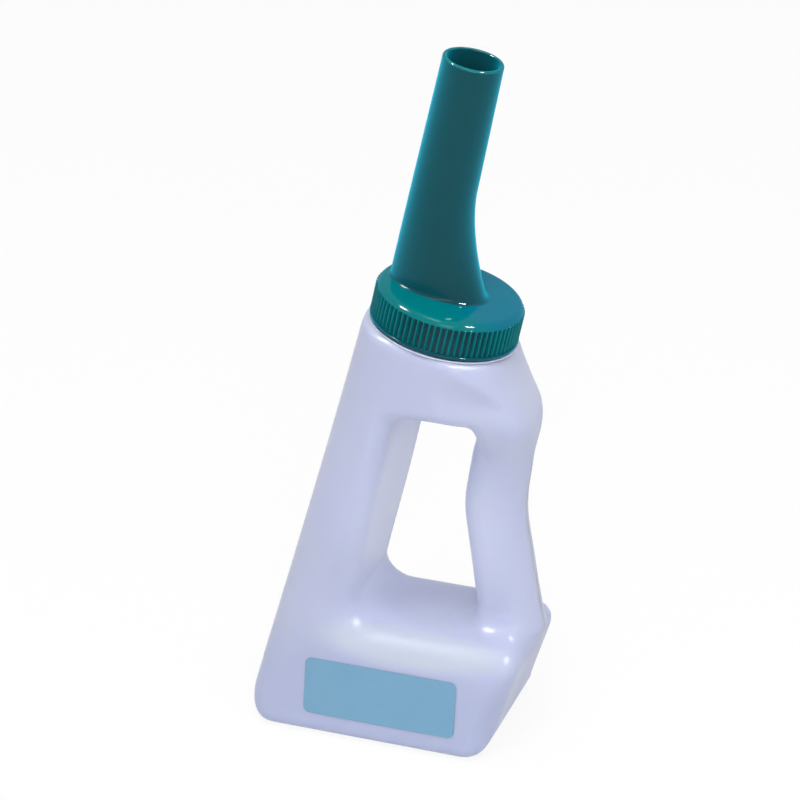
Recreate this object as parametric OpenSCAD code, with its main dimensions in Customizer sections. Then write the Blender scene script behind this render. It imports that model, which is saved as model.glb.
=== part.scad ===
// Livestock drencher: blow-moulded grip bottle, screw cap with a pouring spout,
// sealing ring and a plain label. Millimetres, +Z up, standing on its base.
// Front face is at -Y, the grip is on the +X side.

/* [Bottle] */
// base width, left to right
base_w = 126; // [118:1:134]
// base depth, front to back
base_d = 90; // [85:1:96]
// height of the cap seat centre above the base
neck_z = 209; // [202:0.5:218]
// cap seat centre, right of the base centre
neck_x = 26.8; // [23:0.2:30]
// lean of the neck toward the grip, degrees
neck_tilt = 11.4; // [9:0.2:13]
// wall thickness of the bottle
wall = 1.8; // [1.4:0.1:2.2]
// overhang of the block's grip end at the shelf
block_over = 17.6; // [14:0.2:21]

/* [Grip] */
// height of the shelf under the hand opening
shelf_z = 55.6; // [52:0.2:59]
// height of the hand opening
grip_h = 117.8; // [110:0.2:121]
// width of the leg beside the hand opening
leg_w = 35.4; // [32:0.1:38]
// finger room at the waist of the handle
slot_w = 42; // [38:0.5:43]
// handle thickness at the waist
handle_t = 29.4; // [27:0.2:31]

/* [Cap and spout] */
// outer radius of the cap's lower bead
cap_r = 36; // [35:0.1:37.5]
// cap height, lower bead to deck
cap_h = 18.6; // [18:0.1:20]
// number of grip ribs round the cap
rib_n = 78; // [60:1:90]
// thread pitch
pitch = 4.2; // [3.8:0.1:4.6]
// spout length above the cap's lower bead
spout_w = 131.8; // [120:0.2:142]
// outer radius of the spout at its mouth
spout_r = 14.2; // [13.6:0.1:15.2]
// bore radius of the spout
spout_bore = 12.4; // [11.6:0.1:12.8]

/* [Label] */
// label width
label_w = 77.6; // [70:0.2:82]
// label height
label_h = 29.0; // [26:0.1:32]
// label thickness
label_t = 0.3; // [0.2:0.05:0.5]
// left edge of the label, left of the base centre
label_x = 28; // [24:0.2:32]
// lower edge of the label above the base, along the face
label_z = 11.6; // [10:0.1:14]
// corner radius of the label
label_r = 3.3; // [2:0.1:5]

/* [Hidden] */
$fn = 96;

// fits and clearances
seat_gap = 0.8;
thread_gap = 0.5;
ring_t = 1.5;
ring_gap = 0.05;
skirt_t = 1.7;
rib_d = 0.7;
deck_t = 2.2;
label_gap = 0.02;

// neck and thread, from the cap inward
rib_root = cap_r - 0.3 - rib_d;
skirt_r = rib_root - skirt_t;
neck_crest = skirt_r - thread_gap;
neck_root = neck_crest - 1.3;
neck_bore = neck_root - 2;
cap_crest = neck_root + thread_gap;
lip_w = cap_h - deck_t - ring_t - ring_gap;
thread_w = 1.5;
thread_turns = 1.15;
thread_low = 3.6;

// neck frame: u across, w along the tilted neck axis
nt_c = cos(neck_tilt);
nt_s = sin(neck_tilt);
function nk(u, w) = [neck_x + u * nt_c + w * nt_s, neck_z - u * nt_s + w * nt_c];
function nk_u(p) = (p[0] - neck_x) * nt_c - (p[1] - neck_z) * nt_s;
function nk_w(p) = (p[0] - neck_x) * nt_s + (p[1] - neck_z) * nt_c;

// bottle outline keys, seen from the front
shoulder_r = cap_r + 2.2;
right_in = 2.8;
xl0 = -base_w / 2;
xr0 = base_w / 2;
key_e = nk(-shoulder_r, -seat_gap);
key_d = nk(shoulder_r - right_in - 0.4, -seat_gap);
function left_x(z) = xl0 + (key_e[0] - xl0) * z / key_e[1];
grip_top = shelf_z + grip_h;
waist_z = shelf_z + 0.55 * grip_h;
function slot_x(z) = left_x(z) + leg_w - 3.1 * (z - shelf_z) / grip_h;
waist_in = slot_x(waist_z) + slot_w;
waist_out = waist_in + handle_t;
end_x = xr0 + block_over;
body_h = shoulder_r - 1.2;
upright = 0.004;
taper = upright + (base_d / 2 - body_h) / 66;
function half_d(z) = soft_max(base_d / 2 - taper * z, body_h - upright * z, 20 * (taper - upright));
handle_h = handle_t / 2;

outer_key = [
    [xl0, 0, 11],
    [key_e[0], key_e[1], 3.5],
    [key_d[0], key_d[1], 7],
    [waist_out + 3.2, shelf_z + 0.96 * grip_h, 26],
    [waist_out - 2.4, shelf_z + 0.57 * grip_h, 70],
    [end_x, shelf_z, 7],
    [xr0, 0, 8]
];
inner_key = [
    [slot_x(shelf_z), shelf_z, 11],
    [slot_x(grip_top), grip_top, 5],
    [waist_in + 6.2, grip_top, 8],
    [waist_in - 2.2, waist_z, 60],
    [waist_in + 7.8, shelf_z, 4]
];

// rounded polygon: na + 1 points on each corner
na = 8;
function unit(v) = v / norm(v);
function corner(p, q, r) =
    let (
        a = unit([p[0] - q[0], p[1] - q[1]]),
        b = unit([r[0] - q[0], r[1] - q[1]]),
        half = acos(max(-1, min(1, a * b))) / 2,
        cen = [q[0], q[1]] + unit(a + b) * q[2] / sin(half),
        s0 = [q[0], q[1]] + a * q[2] / tan(half) - cen,
        s1 = [q[0], q[1]] + b * q[2] / tan(half) - cen,
        a0 = atan2(s0[1], s0[0]),
        sweep = let (d = atan2(s1[1], s1[0]) - a0) d > 180 ? d - 360 : d < -180 ? d + 360 : d
    )
    [for (i = [0:na]) cen + q[2] * [cos(a0 + sweep * i / na), sin(a0 + sweep * i / na)]];
function rounded(k) =
    let (n = len(k))
    [for (i = [0:n - 1]) each corner(k[(i + n - 1) % n], k[i], k[(i + 1) % n])];
// running length along a closed list, three laps are never needed: two are kept
function lengths(p, i = 0, s = 0, out = []) =
    i > 2 * len(p) ? out
    : lengths(p, i + 1, s + norm(p[(i + 1) % len(p)] - p[i % len(p)]), concat(out, [[i, s]]));

outer_path = rounded(outer_key);
inner_path = rounded(inner_key);
outer_len = lengths(outer_path);
inner_len = lengths(inner_path);
function table(p, len_list, c) = [for (e = len_list) [e[1], p[e[0] % len(p)][c]]];
outer_tx = table(outer_path, outer_len, 0);
outer_tz = table(outer_path, outer_len, 1);
inner_tx = table(inner_path, inner_len, 0);
inner_tz = table(inner_path, inner_len, 1);
function out_at(s) = [lookup(s, outer_tx), lookup(s, outer_tz)];
function in_at(s) = [lookup(s, inner_tx), lookup(s, inner_tz)];
function out_mid(i) = outer_len[i * (na + 1) + na / 2][1];
function in_mid(i) = inner_len[i * (na + 1) + na / 2][1];

function smooth(a, b, t) = let (x = max(0, min(1, (t - a) / (b - a)))) x * x * (3 - 2 * x);
function mix(a, b, t) = a + (b - a) * t;
function soft_min(a, b, k) = let (h = max(0, min(1, 0.5 + 0.5 * (b - a) / k))) mix(b, a, h) - k * h * (1 - h);
function soft_max(a, b, k) = -soft_min(-a, -b, k);
function drop(d, r) = d >= r ? 0 : r - sqrt(max(0, r * r - (r - d) * (r - d)));

// stations round the hand opening:
// [outer length, inner length, part of the round, place in it]
part_n = [20, 14, 20, 20, 12, 14];
function place(k, t) =
    k == 3 ? 1 - pow(1 - t, 2.2)
    : k == 4 ? pow(t, 1.7)
    : t;
shelf_turn = 5;
function station(k, t) =
    let (
        f = place(k, t),
        so = k == 0 ? mix(out_mid(0), out_mid(1), f)
            : k == 1 ? mix(out_mid(1), out_mid(2), f)
            : k == 2 ? mix(out_mid(2), out_mid(4), f)
            : k == 3 ? mix(out_mid(4), out_mid(5), f)
            : k == 4 ? mix(out_mid(5), out_mid(6), f)
            : mix(out_mid(6), out_mid(7), f),
        si = k == 0 ? mix(in_mid(0), in_mid(1), f)
            : k == 1 ? mix(in_mid(1), in_mid(2), f)
            : k == 2 ? mix(in_mid(2), in_mid(3), f)
            : k == 3 ? mix(in_mid(3), in_mid(4), f)
            : k == 4 ? in_mid(4) + shelf_turn * f
            : mix(in_mid(4) + shelf_turn, in_mid(5), f)
    )
    [so, si, k, f];
stations = [for (k = [0:5]) for (j = [0:part_n[k] - 1]) station(k, j / part_n[k])];

// half depth of the bottle at a point of a station
foot_r = 9;
edge_r = 5;
function depth(st, p, quick) =
    let (k = st[2], f = st[3], full = half_d(p[1]))
    k == 1 && quick < 0.5 ? mix(full, handle_h, 0.5 * smooth(0.72, 1, f))
    : k == 2 && quick < 0.5 ? mix(full, handle_h, 0.5 + 0.5 * smooth(0, quick, f))
    : k == 2 ? mix(full, handle_h, smooth(0, quick, f))
    : k == 3 ? let (d = max(0, p[1] - shelf_z)) handle_h + drop(d, foot_r) * mix(1, 1.3, smooth(0.9, 1, f))
    : k == 4 ? full - drop(max(0, shelf_z - p[1]) + 0.25, edge_r) * (1 - smooth(0.1, 0.5, f))
    : full;
function round_out(k, f) =
    k == 0 ? mix(mix(7, 9, smooth(0, 0.15, f)), 4, smooth(0.75, 1, f))
    : k == 1 ? 4
    : k == 2 ? mix(4, handle_h, smooth(0, 0.7, f))
    : k == 3 ? mix(handle_h, 13, smooth(0.85, 1, f))
    : k == 4 ? mix(15, 9, f)
    : mix(9, 7, smooth(0, 0.3, f));
function round_in(k, f) =
    k == 2 ? mix(edge_r, handle_h, smooth(0, 0.7, f))
    : k == 3 ? mix(handle_h, 6, smooth(0.9, 1, f))
    : k == 4 ? mix(6, edge_r, smooth(0, 0.4, f))
    : edge_r;
// the body closes to a round shoulder under the cap
function chord(p) =
    let (
        u = nk_u(p),
        w = min(0, nk_w(p) + seat_gap),
        right = right_in * smooth(0, 0.8, u / shoulder_r),
        r = shoulder_r - right + (u < 0 ? -0.05 * w + 0.00018 * w * w : -0.7 * w)
    )
    sqrt(max(9, r * r - u * u)) * (1 - 0.22 * smooth(0, 1, u / r));

// one half section, from the outer edge to the opening, as [x, y, z] at +y
function half_section(st, t, nr, nm) =
    let (
        k = st[2],
        f = st[3],
        po = out_at(st[0]),
        pi_ = in_at(st[1]),
        e0 = unit(pi_ - po),
        to = unit(out_at(st[0] + 0.6) - out_at(max(0, st[0] - 0.6))),
        ti = unit(in_at(st[1] + 0.6) - in_at(max(0, st[1] - 0.6))),
        so = max(0.45, abs(e0[0] * to[1] - e0[1] * to[0])),
        si = max(0.45, abs(e0[0] * ti[1] - e0[1] * ti[0])),
        sink = t * (k == 3 ? smooth(0.55, 0.95, f) : k == 4 ? 1 - smooth(0.3, 1, f) : 0),
        o = po + e0 * t / so - [0, sink],
        i = pi_ - e0 * t / si - [0, sink],
        full = norm(i - o),
        e = (i - o) / full,
        ho = depth(st, po, 0.8),
        hi = depth(st, pi_, 0.25),
        ro = max(0.8, min(round_out(k, f), soft_min(ho, chord(po), 7) - 0.4) - t),
        ri = max(0.8, min(round_in(k, f), soft_min(hi, chord(pi_), 7) - 0.4) - t),
        no = min(ro / so, 0.46 * full),
        ni = min(ri / si, 0.46 * full),
        s_list = concat(
            [for (j = [0:nr]) no * (1 - cos(90 * j / nr))],
            [for (j = [1:nm]) mix(no, full - ni, j / (nm + 1))],
            [for (j = [0:nr]) full - ni * (1 - sin(90 * j / nr))]
        )
    )
    [for (s = s_list)
        let (
            p = o + e * s,
            h = soft_min(mix(depth(st, p, 0.8), depth(st, p, 0.25), s / full), chord(p), 7) - t,
            cut = norm([drop(s * so, ro), drop((full - s) * si, ri)])
        )
        [p[0], max(0.3, h - cut), p[1]]];
function section(st, t, nr, nm) =
    let (h = half_section(st, t, nr, nm), n = len(h))
    concat(h, [for (j = [n - 1:-1:0]) [h[j][0], -h[j][1], h[j][2]]]);

module ring_skin(t, nr, nm) {
    rows = [for (st = stations) section(st, t, nr, nm)];
    m = len(rows);
    n = len(rows[0]);
    polyhedron(
        points = [for (r = rows) each r],
        faces = [for (a = [0:m - 1]) for (b = [0:n - 1])
            let (
                a2 = (a + 1) % m,
                b2 = (b + 1) % n,
                q0 = a * n + b,
                q1 = a * n + b2,
                q2 = a2 * n + b2,
                q3 = a2 * n + b,
                short = norm(rows[a][b] - rows[a2][b2]) <= norm(rows[a][b2] - rows[a2][b])
            )
            each short ? [[q0, q1, q2], [q0, q2, q3]] : [[q0, q1, q3], [q1, q2, q3]]],
        convexity = 6
    );
}

// helical thread: a trapezoid swept from root radius r0 to crest radius r1
module thread(r0, r1, low, turns) {
    n = 44;
    steps = ceil(n * turns);
    rows = [for (i = [0:steps])
        let (
            a = 360 * i / n,
            z = low + pitch * i / n,
            g = smooth(0, 5, min(i, steps - i)),
            rc = mix(r0 + 0.12 * sign(r1 - r0), r1, g)
        )
        [for (q = [[r0, -thread_w / 2], [rc, -thread_w / 4], [rc, thread_w / 4], [r0, thread_w / 2]])
            [q[0] * cos(a), q[0] * sin(a), z + q[1]]]];
    flip = r1 < r0;
    tri = concat(
        [for (i = [0:steps - 1]) for (j = [0:3])
            let (
                q0 = i * 4 + j,
                q1 = i * 4 + (j + 1) % 4,
                q2 = (i + 1) * 4 + (j + 1) % 4,
                q3 = (i + 1) * 4 + j
            )
            each [[q0, q1, q2], [q0, q2, q3]]],
        [[0, 2, 1], [0, 3, 2]],
        [[steps * 4, steps * 4 + 1, steps * 4 + 2], [steps * 4, steps * 4 + 2, steps * 4 + 3]]
    );
    polyhedron(
        points = [for (r = rows) each r],
        faces = flip ? [for (f = tri) [f[2], f[1], f[0]]] : tri,
        convexity = 4
    );
}

// put a thing built along +Z on the tilted neck axis
module on_neck() {
    translate([neck_x, 0, neck_z])
        rotate([0, neck_tilt, 0])
            children();
}

module bottle() {
    color([0.86, 0.87, 0.93])
    difference() {
        union() {
            ring_skin(0, 5, 6);
            on_neck() {
                translate([0, 0, -seat_gap - 2])
                    cylinder(r = neck_root, h = lip_w + seat_gap + 2);
                thread(neck_root - 0.5, neck_crest, thread_low + pitch / 2, thread_turns);
            }
        }
        ring_skin(wall, 3, 2);
        on_neck()
            translate([0, 0, -12])
                cylinder(r = neck_bore, h = lip_w + 14);
    }
}

// ribbed skirt outline
module rib_ring() {
    step = 360 / rib_n;
    r1 = rib_root + rib_d;
    r0 = rib_root;
    polygon([for (i = [0:rib_n - 1]) for (q = [[r0, 0], [r0, 0.34], [r1, 0.5], [r1, 0.84]])
        [q[0] * cos(step * (i + q[1])), q[0] * sin(step * (i + q[1]))]]);
}

spout_u = -(cap_r - spout_r) * 0.68;
deck_w = cap_h;
spout_draft = 0.0115;
spout_foot = 0.516 * spout_w;
function spread(a, b, m) = [for (i = [0:m]) mix(a, b, i / m)];
function spout_rad(w) = spout_r + spout_draft * (spout_w - w);

// spout with its flared foot: round at the top, an oval end on the deck
module spout_skin(inside, heights, n) {
    reach = cap_r * 0.43;
    m = len(heights) - 1;
    rows = [for (w = heights)
        let (
            d = max(0, spout_foot - max(w, deck_w - 1)) / (spout_foot - deck_w),
            bevel = w > spout_w - 0.1 ? 0.5 : 0,
            r = inside ? spout_bore - 0.3 + 1.6 * d : spout_rad(max(w, deck_w)) - bevel,
            grow = reach * pow(d, 1.7),
            fil = inside ? 0 : 3 * pow(max(0, 1 - (max(w, deck_w) - deck_w) / 4), 2)
        )
        [for (j = [0:n - 1])
            let (a = 360 * j / n, c = cos(a))
            [spout_u + (r + fil) * c + grow * (0.5 + 0.5 * c), (r + fil * 0.8) * sin(a), w]]];
    polyhedron(
        points = [for (r = rows) each r],
        faces = concat(
            [for (i = [0:m - 1]) for (j = [0:n - 1])
                let (
                    q0 = i * n + j,
                    q1 = i * n + (j + 1) % n,
                    q2 = (i + 1) * n + (j + 1) % n,
                    q3 = (i + 1) * n + j
                )
                each [[q0, q2, q1], [q0, q3, q2]]],
            [[for (j = [0:n - 1]) j]],
            [[for (j = [n - 1:-1:0]) m * n + j]]
        ),
        convexity = 4
    );
}

module spout_cap() {
    color([0.0, 0.47, 0.47])
    on_neck()
    union() {
        thread(skirt_r + 0.5, cap_crest, thread_low, thread_turns);
        difference() {
            union() {
                translate([0, 0, 1.2])
                    linear_extrude(height = cap_h - 3.2)
                        rib_ring();
                rotate_extrude()
                    polygon(concat(
                        [[skirt_r - 1, 0], [cap_r - 0.5, 0], [cap_r, 0.5], [cap_r, 1.7], [cap_r - 0.5, 2.2]],
                        [[rib_root - 0.3, 2.4], [rib_root - 0.3, cap_h - 3.2]],
                        [for (a = [0:15:90]) [cap_r - 4.4 + 4.2 * cos(a), cap_h - 2.4 + 2.4 * sin(a)]],
                        [[0, cap_h], [0, cap_h - deck_t], [skirt_r - 1, cap_h - deck_t]]
                    ));
                spout_skin(false, concat(spread(cap_h - 0.8, spout_foot, 18), [spout_w - 0.6, spout_w]), 72);
            }
            translate([0, 0, -1])
                cylinder(r = skirt_r, h = cap_h - deck_t + 1);
            spout_skin(true, spread(cap_h - deck_t - 1, spout_foot, 12), 48);
            translate([spout_u, 0, spout_foot - 0.6])
                cylinder(r = spout_bore, h = spout_w - spout_foot + 2);
        }
    }
}

module sealing_ring() {
    color([0.9, 0.9, 0.88])
    on_neck()
        translate([0, 0, lip_w + ring_gap])
            difference() {
                cylinder(r = skirt_r - 0.4, h = ring_t - 0.05);
                translate([0, 0, -1])
                    cylinder(r = neck_bore + 0.5, h = ring_t + 2);
            }
}

module label() {
    x0 = -label_x;
    z0 = label_z;
    r = label_r;
    color([0.55, 0.74, 0.82])
    translate([0, -base_d / 2 - label_gap, 0])
        rotate([-atan(taper), 0, 0])
            rotate([90, 0, 0])
                linear_extrude(height = label_t)
                    union() {
                        translate([x0 + r, z0])
                            square([label_w - 2 * r, label_h]);
                        translate([x0, z0 + r])
                            square([label_w, label_h - 2 * r]);
                        for (x = [x0 + r, x0 + label_w - r]) for (z = [z0 + r, z0 + label_h - r])
                            translate([x, z])
                                circle(r = r, $fn = 48);
                    }
}

bottle();
spout_cap();
sealing_ring();
label();
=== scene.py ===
# Livestock drencher: the moulded bottle, its screw cap with the spout, the seal and the label,
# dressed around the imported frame. Sizes below are in millimetres; meshes are made in metres.
import math

import bmesh
import bpy
import numpy as np
from mathutils import Matrix, Vector


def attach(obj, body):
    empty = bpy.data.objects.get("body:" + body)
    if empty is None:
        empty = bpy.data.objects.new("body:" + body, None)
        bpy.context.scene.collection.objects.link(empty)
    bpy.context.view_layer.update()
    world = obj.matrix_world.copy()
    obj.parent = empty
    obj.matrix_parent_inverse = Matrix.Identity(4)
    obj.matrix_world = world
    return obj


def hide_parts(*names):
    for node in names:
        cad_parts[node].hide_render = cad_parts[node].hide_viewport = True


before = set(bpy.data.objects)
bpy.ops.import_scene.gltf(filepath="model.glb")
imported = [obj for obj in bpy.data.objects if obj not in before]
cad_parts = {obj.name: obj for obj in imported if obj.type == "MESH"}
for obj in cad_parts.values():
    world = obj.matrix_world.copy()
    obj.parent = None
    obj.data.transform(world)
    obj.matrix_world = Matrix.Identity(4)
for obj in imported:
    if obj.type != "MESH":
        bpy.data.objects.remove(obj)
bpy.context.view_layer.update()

MM = 0.001

# bottle
BASE_W = 126.0
BASE_D = 90.0
NECK_Z = 209.0
NECK_X = 26.8
NECK_TILT = math.radians(11.4)
BLOCK_OVER = 17.6
SHELF_Z = 55.6
GRIP_H = 117.8
LEG_W = 35.4
SLOT_W = 42.0
HANDLE_T = 29.4
WALL = 2.6

# cap and spout
CAP_R = 36.0
CAP_H = 18.6
RIB_COUNT = 78
PITCH = 4.2
SPOUT_W = 131.8
SPOUT_R = 14.35
SPOUT_DRAFT = 0.016
SPOUT_BORE = 12.4
DECK_T = 2.2
SEAT_GAP = 0.8
RIB_ROOT = CAP_R - 1.0
SKIRT_R = RIB_ROOT - 1.7
GROOVE_R = RIB_ROOT - 1.2
NECK_CREST = SKIRT_R - 0.5
NECK_ROOT = NECK_CREST - 1.3
NECK_BORE = NECK_ROOT - 2.0
CAP_CREST = NECK_ROOT + 0.5
LIP_W = CAP_H - DECK_T - 1.55
THREAD_LOW = 3.6
SEAT_R = CAP_R + 0.35
THREAD_TURNS = 1.15
THREAD_W = 1.5
SPOUT_U = -(CAP_R - SPOUT_R) * 0.68
SPOUT_FOOT = 0.516 * SPOUT_W
FOOT_REACH = CAP_R * 0.43
FOOT_CURVE = 1.7

TILT_C = math.cos(NECK_TILT)
TILT_S = math.sin(NECK_TILT)


def neck_xz(u, w):
    """A point of the leaning neck's own frame, as x and z."""
    return NECK_X + u * TILT_C + w * TILT_S, NECK_Z - u * TILT_S + w * TILT_C


def blend(a, b, t):
    """From a to b as t goes from 0 to 1."""
    return a + (b - a) * t


def smooth(a, b, t):
    """From 0 to 1, without a kink, as t goes from a to b."""
    s = np.clip((t - a) / (b - a), 0.0, 1.0)
    return s * s * (3.0 - 2.0 * s)


def soft_max(a, b, k):
    """The larger of two, rounded over a width k."""
    h = np.clip(0.5 + 0.5 * (a - b) / k, 0.0, 1.0)
    return b + (a - b) * h + k * h * (1.0 - h)


def round_and(a, b, r):
    """Where two walls meet at an outer edge of radius r."""
    return np.minimum(np.maximum(a, b), -r) + np.hypot(np.maximum(a + r, 0), np.maximum(b + r, 0))


def round_or(a, b, r):
    """Where two walls meet at an inner corner filled to radius r."""
    return np.maximum(np.minimum(a, b), r) - np.hypot(np.maximum(r - a, 0), np.maximum(r - b, 0))


# outline of the bottle seen from the front
SHOULDER_R = CAP_R + 2.2
RIGHT_IN = 2.8
LEG_OUT = 0.4
LEG_FULL = 2.7
LEG_NARROWS = 4.2
LEFT_FOOT = -BASE_W / 2
RIGHT_FOOT = BASE_W / 2
END_X = RIGHT_FOOT + BLOCK_OVER
SHOULDER_LEFT = neck_xz(-SHOULDER_R, -SEAT_GAP)
SHOULDER_RIGHT = neck_xz(SHOULDER_R - RIGHT_IN - 0.4, -SEAT_GAP)
GRIP_TOP = SHELF_Z + GRIP_H
WAIST_Z = SHELF_Z + 0.55 * GRIP_H


def left_x(z):
    """The leaning outer side of the leg."""
    return LEFT_FOOT - LEG_OUT + (SHOULDER_LEFT[0] - LEFT_FOOT) * z / SHOULDER_LEFT[1]


def slot_x(z):
    """The leg's side of the hand opening."""
    return left_x(z) + LEG_W + LEG_FULL - LEG_NARROWS * (z - SHELF_Z) / GRIP_H


WAIST_IN = slot_x(WAIST_Z) + SLOT_W - 1.3
WAIST_OUT = WAIST_IN + HANDLE_T
HANDLE_H = HANDLE_T / 2
BODY_H = SHOULDER_R - 1.2
TAPER_Z = 66
TAPER_SOFT = 20
UPRIGHT = 0.004
TAPER = UPRIGHT + (BASE_D / 2 - BODY_H) / TAPER_Z
BULGE = (WAIST_OUT + 3.2, SHELF_Z + 0.96 * GRIP_H)
WAIST = (WAIST_OUT - 2.4, SHELF_Z + 0.57 * GRIP_H)


def half_depth(z):
    """Half the bottle's depth: the block narrows up to its top, then stays nearly upright."""
    return soft_max(BASE_D / 2 - TAPER * z, BODY_H - UPRIGHT * z, TAPER_SOFT * (TAPER - UPRIGHT))


def unit(v):
    """The same direction, of length 1."""
    return v / np.linalg.norm(v)


def rounded_path(keys, steps=8):
    """Points along a polygon whose corners [x, z, radius] are rounded."""
    points = []
    count = len(keys)
    for i, key in enumerate(keys):
        here = np.array(key[:2])
        to_last = unit(np.array(keys[i - 1][:2]) - here)
        to_next = unit(np.array(keys[(i + 1) % count][:2]) - here)
        half = math.acos(np.clip(to_last @ to_next, -1, 1)) / 2
        centre = here + unit(to_last + to_next) * key[2] / math.sin(half)
        start = here + to_last * key[2] / math.tan(half) - centre
        stop = here + to_next * key[2] / math.tan(half) - centre
        first = math.atan2(start[1], start[0])
        turn = (math.atan2(stop[1], stop[0]) - first + math.pi) % (2 * math.pi) - math.pi
        for j in range(steps + 1):
            a = first + turn * j / steps
            points.append(centre + key[2] * np.array([math.cos(a), math.sin(a)]))
    return np.array(points)


def along(p, q, z):
    """x on the line through p and q at height z."""
    return p[0] + (q[0] - p[0]) * (z - p[1]) / (q[1] - p[1])


# the block with the foot of the leg; leg, shoulder and handle as one frame;
# the hand opening in that frame; and the whole recess that holds the handle
TOP_Z = SHOULDER_LEFT[1] + 14
SHELF_TOP = SHELF_Z + 2.0
LEG_FOOT_Z = 112
BELOW_Z = -20
FRAME_Z = 20
BASE_CORNER = 14
RECESS_CORNER = 12.5
BLOCK_PATH = rounded_path([
    [LEFT_FOOT, 0, BASE_CORNER],
    [left_x(LEG_FOOT_Z), LEG_FOOT_Z, 1],
    [slot_x(LEG_FOOT_Z), LEG_FOOT_Z, 1],
    [slot_x(SHELF_Z), SHELF_TOP, RECESS_CORNER],
    [END_X, SHELF_TOP, 11],
    [RIGHT_FOOT, 0, BASE_CORNER],
])
UPPER_PATH = rounded_path([
    [left_x(FRAME_Z), FRAME_Z, 1],
    [left_x(TOP_Z), TOP_Z, 2],
    [along(SHOULDER_RIGHT, BULGE, TOP_Z) + 1, TOP_Z, 2],
    [BULGE[0] + 3, BULGE[1] - 1, 30],
    [WAIST[0], WAIST[1], 70],
    [END_X - 3.2, 78, 30],
    [END_X + 1, SHELF_Z + 2, 4],
    [RIGHT_FOOT - 12, FRAME_Z, 1],
])
GRIP_IN = (WAIST_IN - 2.9, WAIST_Z)
HAND_PATH = rounded_path([
    [slot_x(BELOW_Z), BELOW_Z, 1],
    [slot_x(GRIP_TOP), GRIP_TOP - 2.7, 5],
    [WAIST_IN + 6.9, GRIP_TOP - 3.7, 3.6],
    [WAIST_IN + 6.8, GRIP_TOP - 11, 6],
    [WAIST_IN + 1.2, GRIP_TOP - 25, 20],
    [GRIP_IN[0], GRIP_IN[1], 60],
    [along(GRIP_IN, (WAIST_IN + 7.1, SHELF_Z), BELOW_Z), BELOW_Z, 1],
])
GRIP_PATH = rounded_path([
    [slot_x(SHELF_Z), SHELF_TOP, RECESS_CORNER],
    [slot_x(GRIP_TOP), GRIP_TOP, 5],
    [WAIST_IN + 26, GRIP_TOP, 5],
    [END_X + 20, SHELF_TOP, 5],
])


def outline_distance(x, z, path):
    """Distance from a closed outline, negative inside it."""
    best = np.full(np.broadcast(x, z).shape, 1e9)
    inside = np.zeros(best.shape, bool)
    for p, q in zip(path, np.roll(path, -1, axis=0)):
        ex, ez = q - p
        if ex == 0 and ez == 0:
            continue
        wx = x - p[0]
        wz = z - p[1]
        t = np.clip((wx * ex + wz * ez) / (ex * ex + ez * ez), 0, 1)
        best = np.minimum(best, (wx - ex * t) ** 2 + (wz - ez * t) ** 2)
        if ez != 0:
            inside ^= ((p[1] > z) != (q[1] > z)) & (wx < ex * wz / ez)
    return np.where(inside, -1, 1) * np.sqrt(best)


# the shoulder's skin: where it turns to the grip, how fast it widens going down (away from
# the grip, toward the grip), how much it narrows from front to back, and its swell to the handle
TO_GRIP_U = (-20, 26)
CONE_OUT = 1.0
CONE_WIDENS = (0.05, 0.6)
CONE_CURVE = 0.00018
CONE_SCALE = (1.0, 0.8)
PINCH = 0.22
PINCH_DOWN = (0, 24)
SWELL_TOP = 1.2
SWELL_BELOW = 3.8
SWELL_DOWN = (0, 42)


def shoulder_cone(u, w, side):
    """Distance from the round skin that narrows up to the neck, and the lean.

    The lean says which side a point is on, from -1 away from the grip to 1 toward it.
    """
    low = np.minimum(w, 0)
    to_grip = smooth(*TO_GRIP_U, u)
    radius = SHOULDER_R - RIGHT_IN * smooth(0, 0.8, u / SHOULDER_R) + CONE_OUT
    radius = radius - blend(*CONE_WIDENS, to_grip) * low + CONE_CURVE * (1 - to_grip) * low * low
    lean = u / radius
    pinch = 1 - PINCH * smooth(0, 1, lean) * smooth(*PINCH_DOWN, -low)
    radius = radius + (SWELL_TOP + SWELL_BELOW * smooth(*SWELL_DOWN, -low)) * smooth(0.5, 1, lean)
    return (np.hypot(u, side / pinch) - radius) * blend(*CONE_SCALE, to_grip), lean


# radii of the bottle's edges
BASE_EDGE = 7.0
SIDE_EDGE = 9.0
END_EDGE_LOW = 16.0
END_EDGE = 12.0
SHELF_EDGE = 16.0
LEG_EDGE = 9.0
SLOT_TOP_EDGE = 8.0
CONE_EDGE = 6.0
NECK_EDGE = 4.4
HANDLE_EDGE = HANDLE_H - 0.3
HANDLE_FILL = 11
DOME_EDGE = 19

# how far the shelf's edge is drawn out down the front, how far the dome stands off on the leg's
# side, the height that the upper frame starts from, and the shares that allow for sloping walls
SHELF_STEEP = 0.8
DOME_DROP = 14
FRAME_FLOOR = 30
BLOCK_SCALE = 0.994
UPPER_SCALE = 0.96

# where one edge or depth passes into the next, from and to: across x, up z, out of the recess,
# round the shoulder by its lean, or down from the neck
BASE_EDGE_Z = (4, 16)
END_EDGE_X = (48, 70)
END_EDGE_Z = (2, 16)
END_NARROWS_Z = (5, 50)
SHELF_TO_LEG_Z = (62, 128)
RECESS_OUT = (-4, 12)
SLOT_TOP_Z = (120, 165)
HANDLE_X = (12, 28)
HANDLE_TOP_Z = (146, 178)
DOME_LEAN = (-0.3, 0.25)
DOME_EDGE_LEAN = (-0.15, 0.75)
DOME_EDGE_DOWN = (0, 22)
CONE_EDGE_LEAN = (-0.5, 0.3)
FILL_X = (14, 30)
FILL_TOP_Z = (84, 112)


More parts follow.
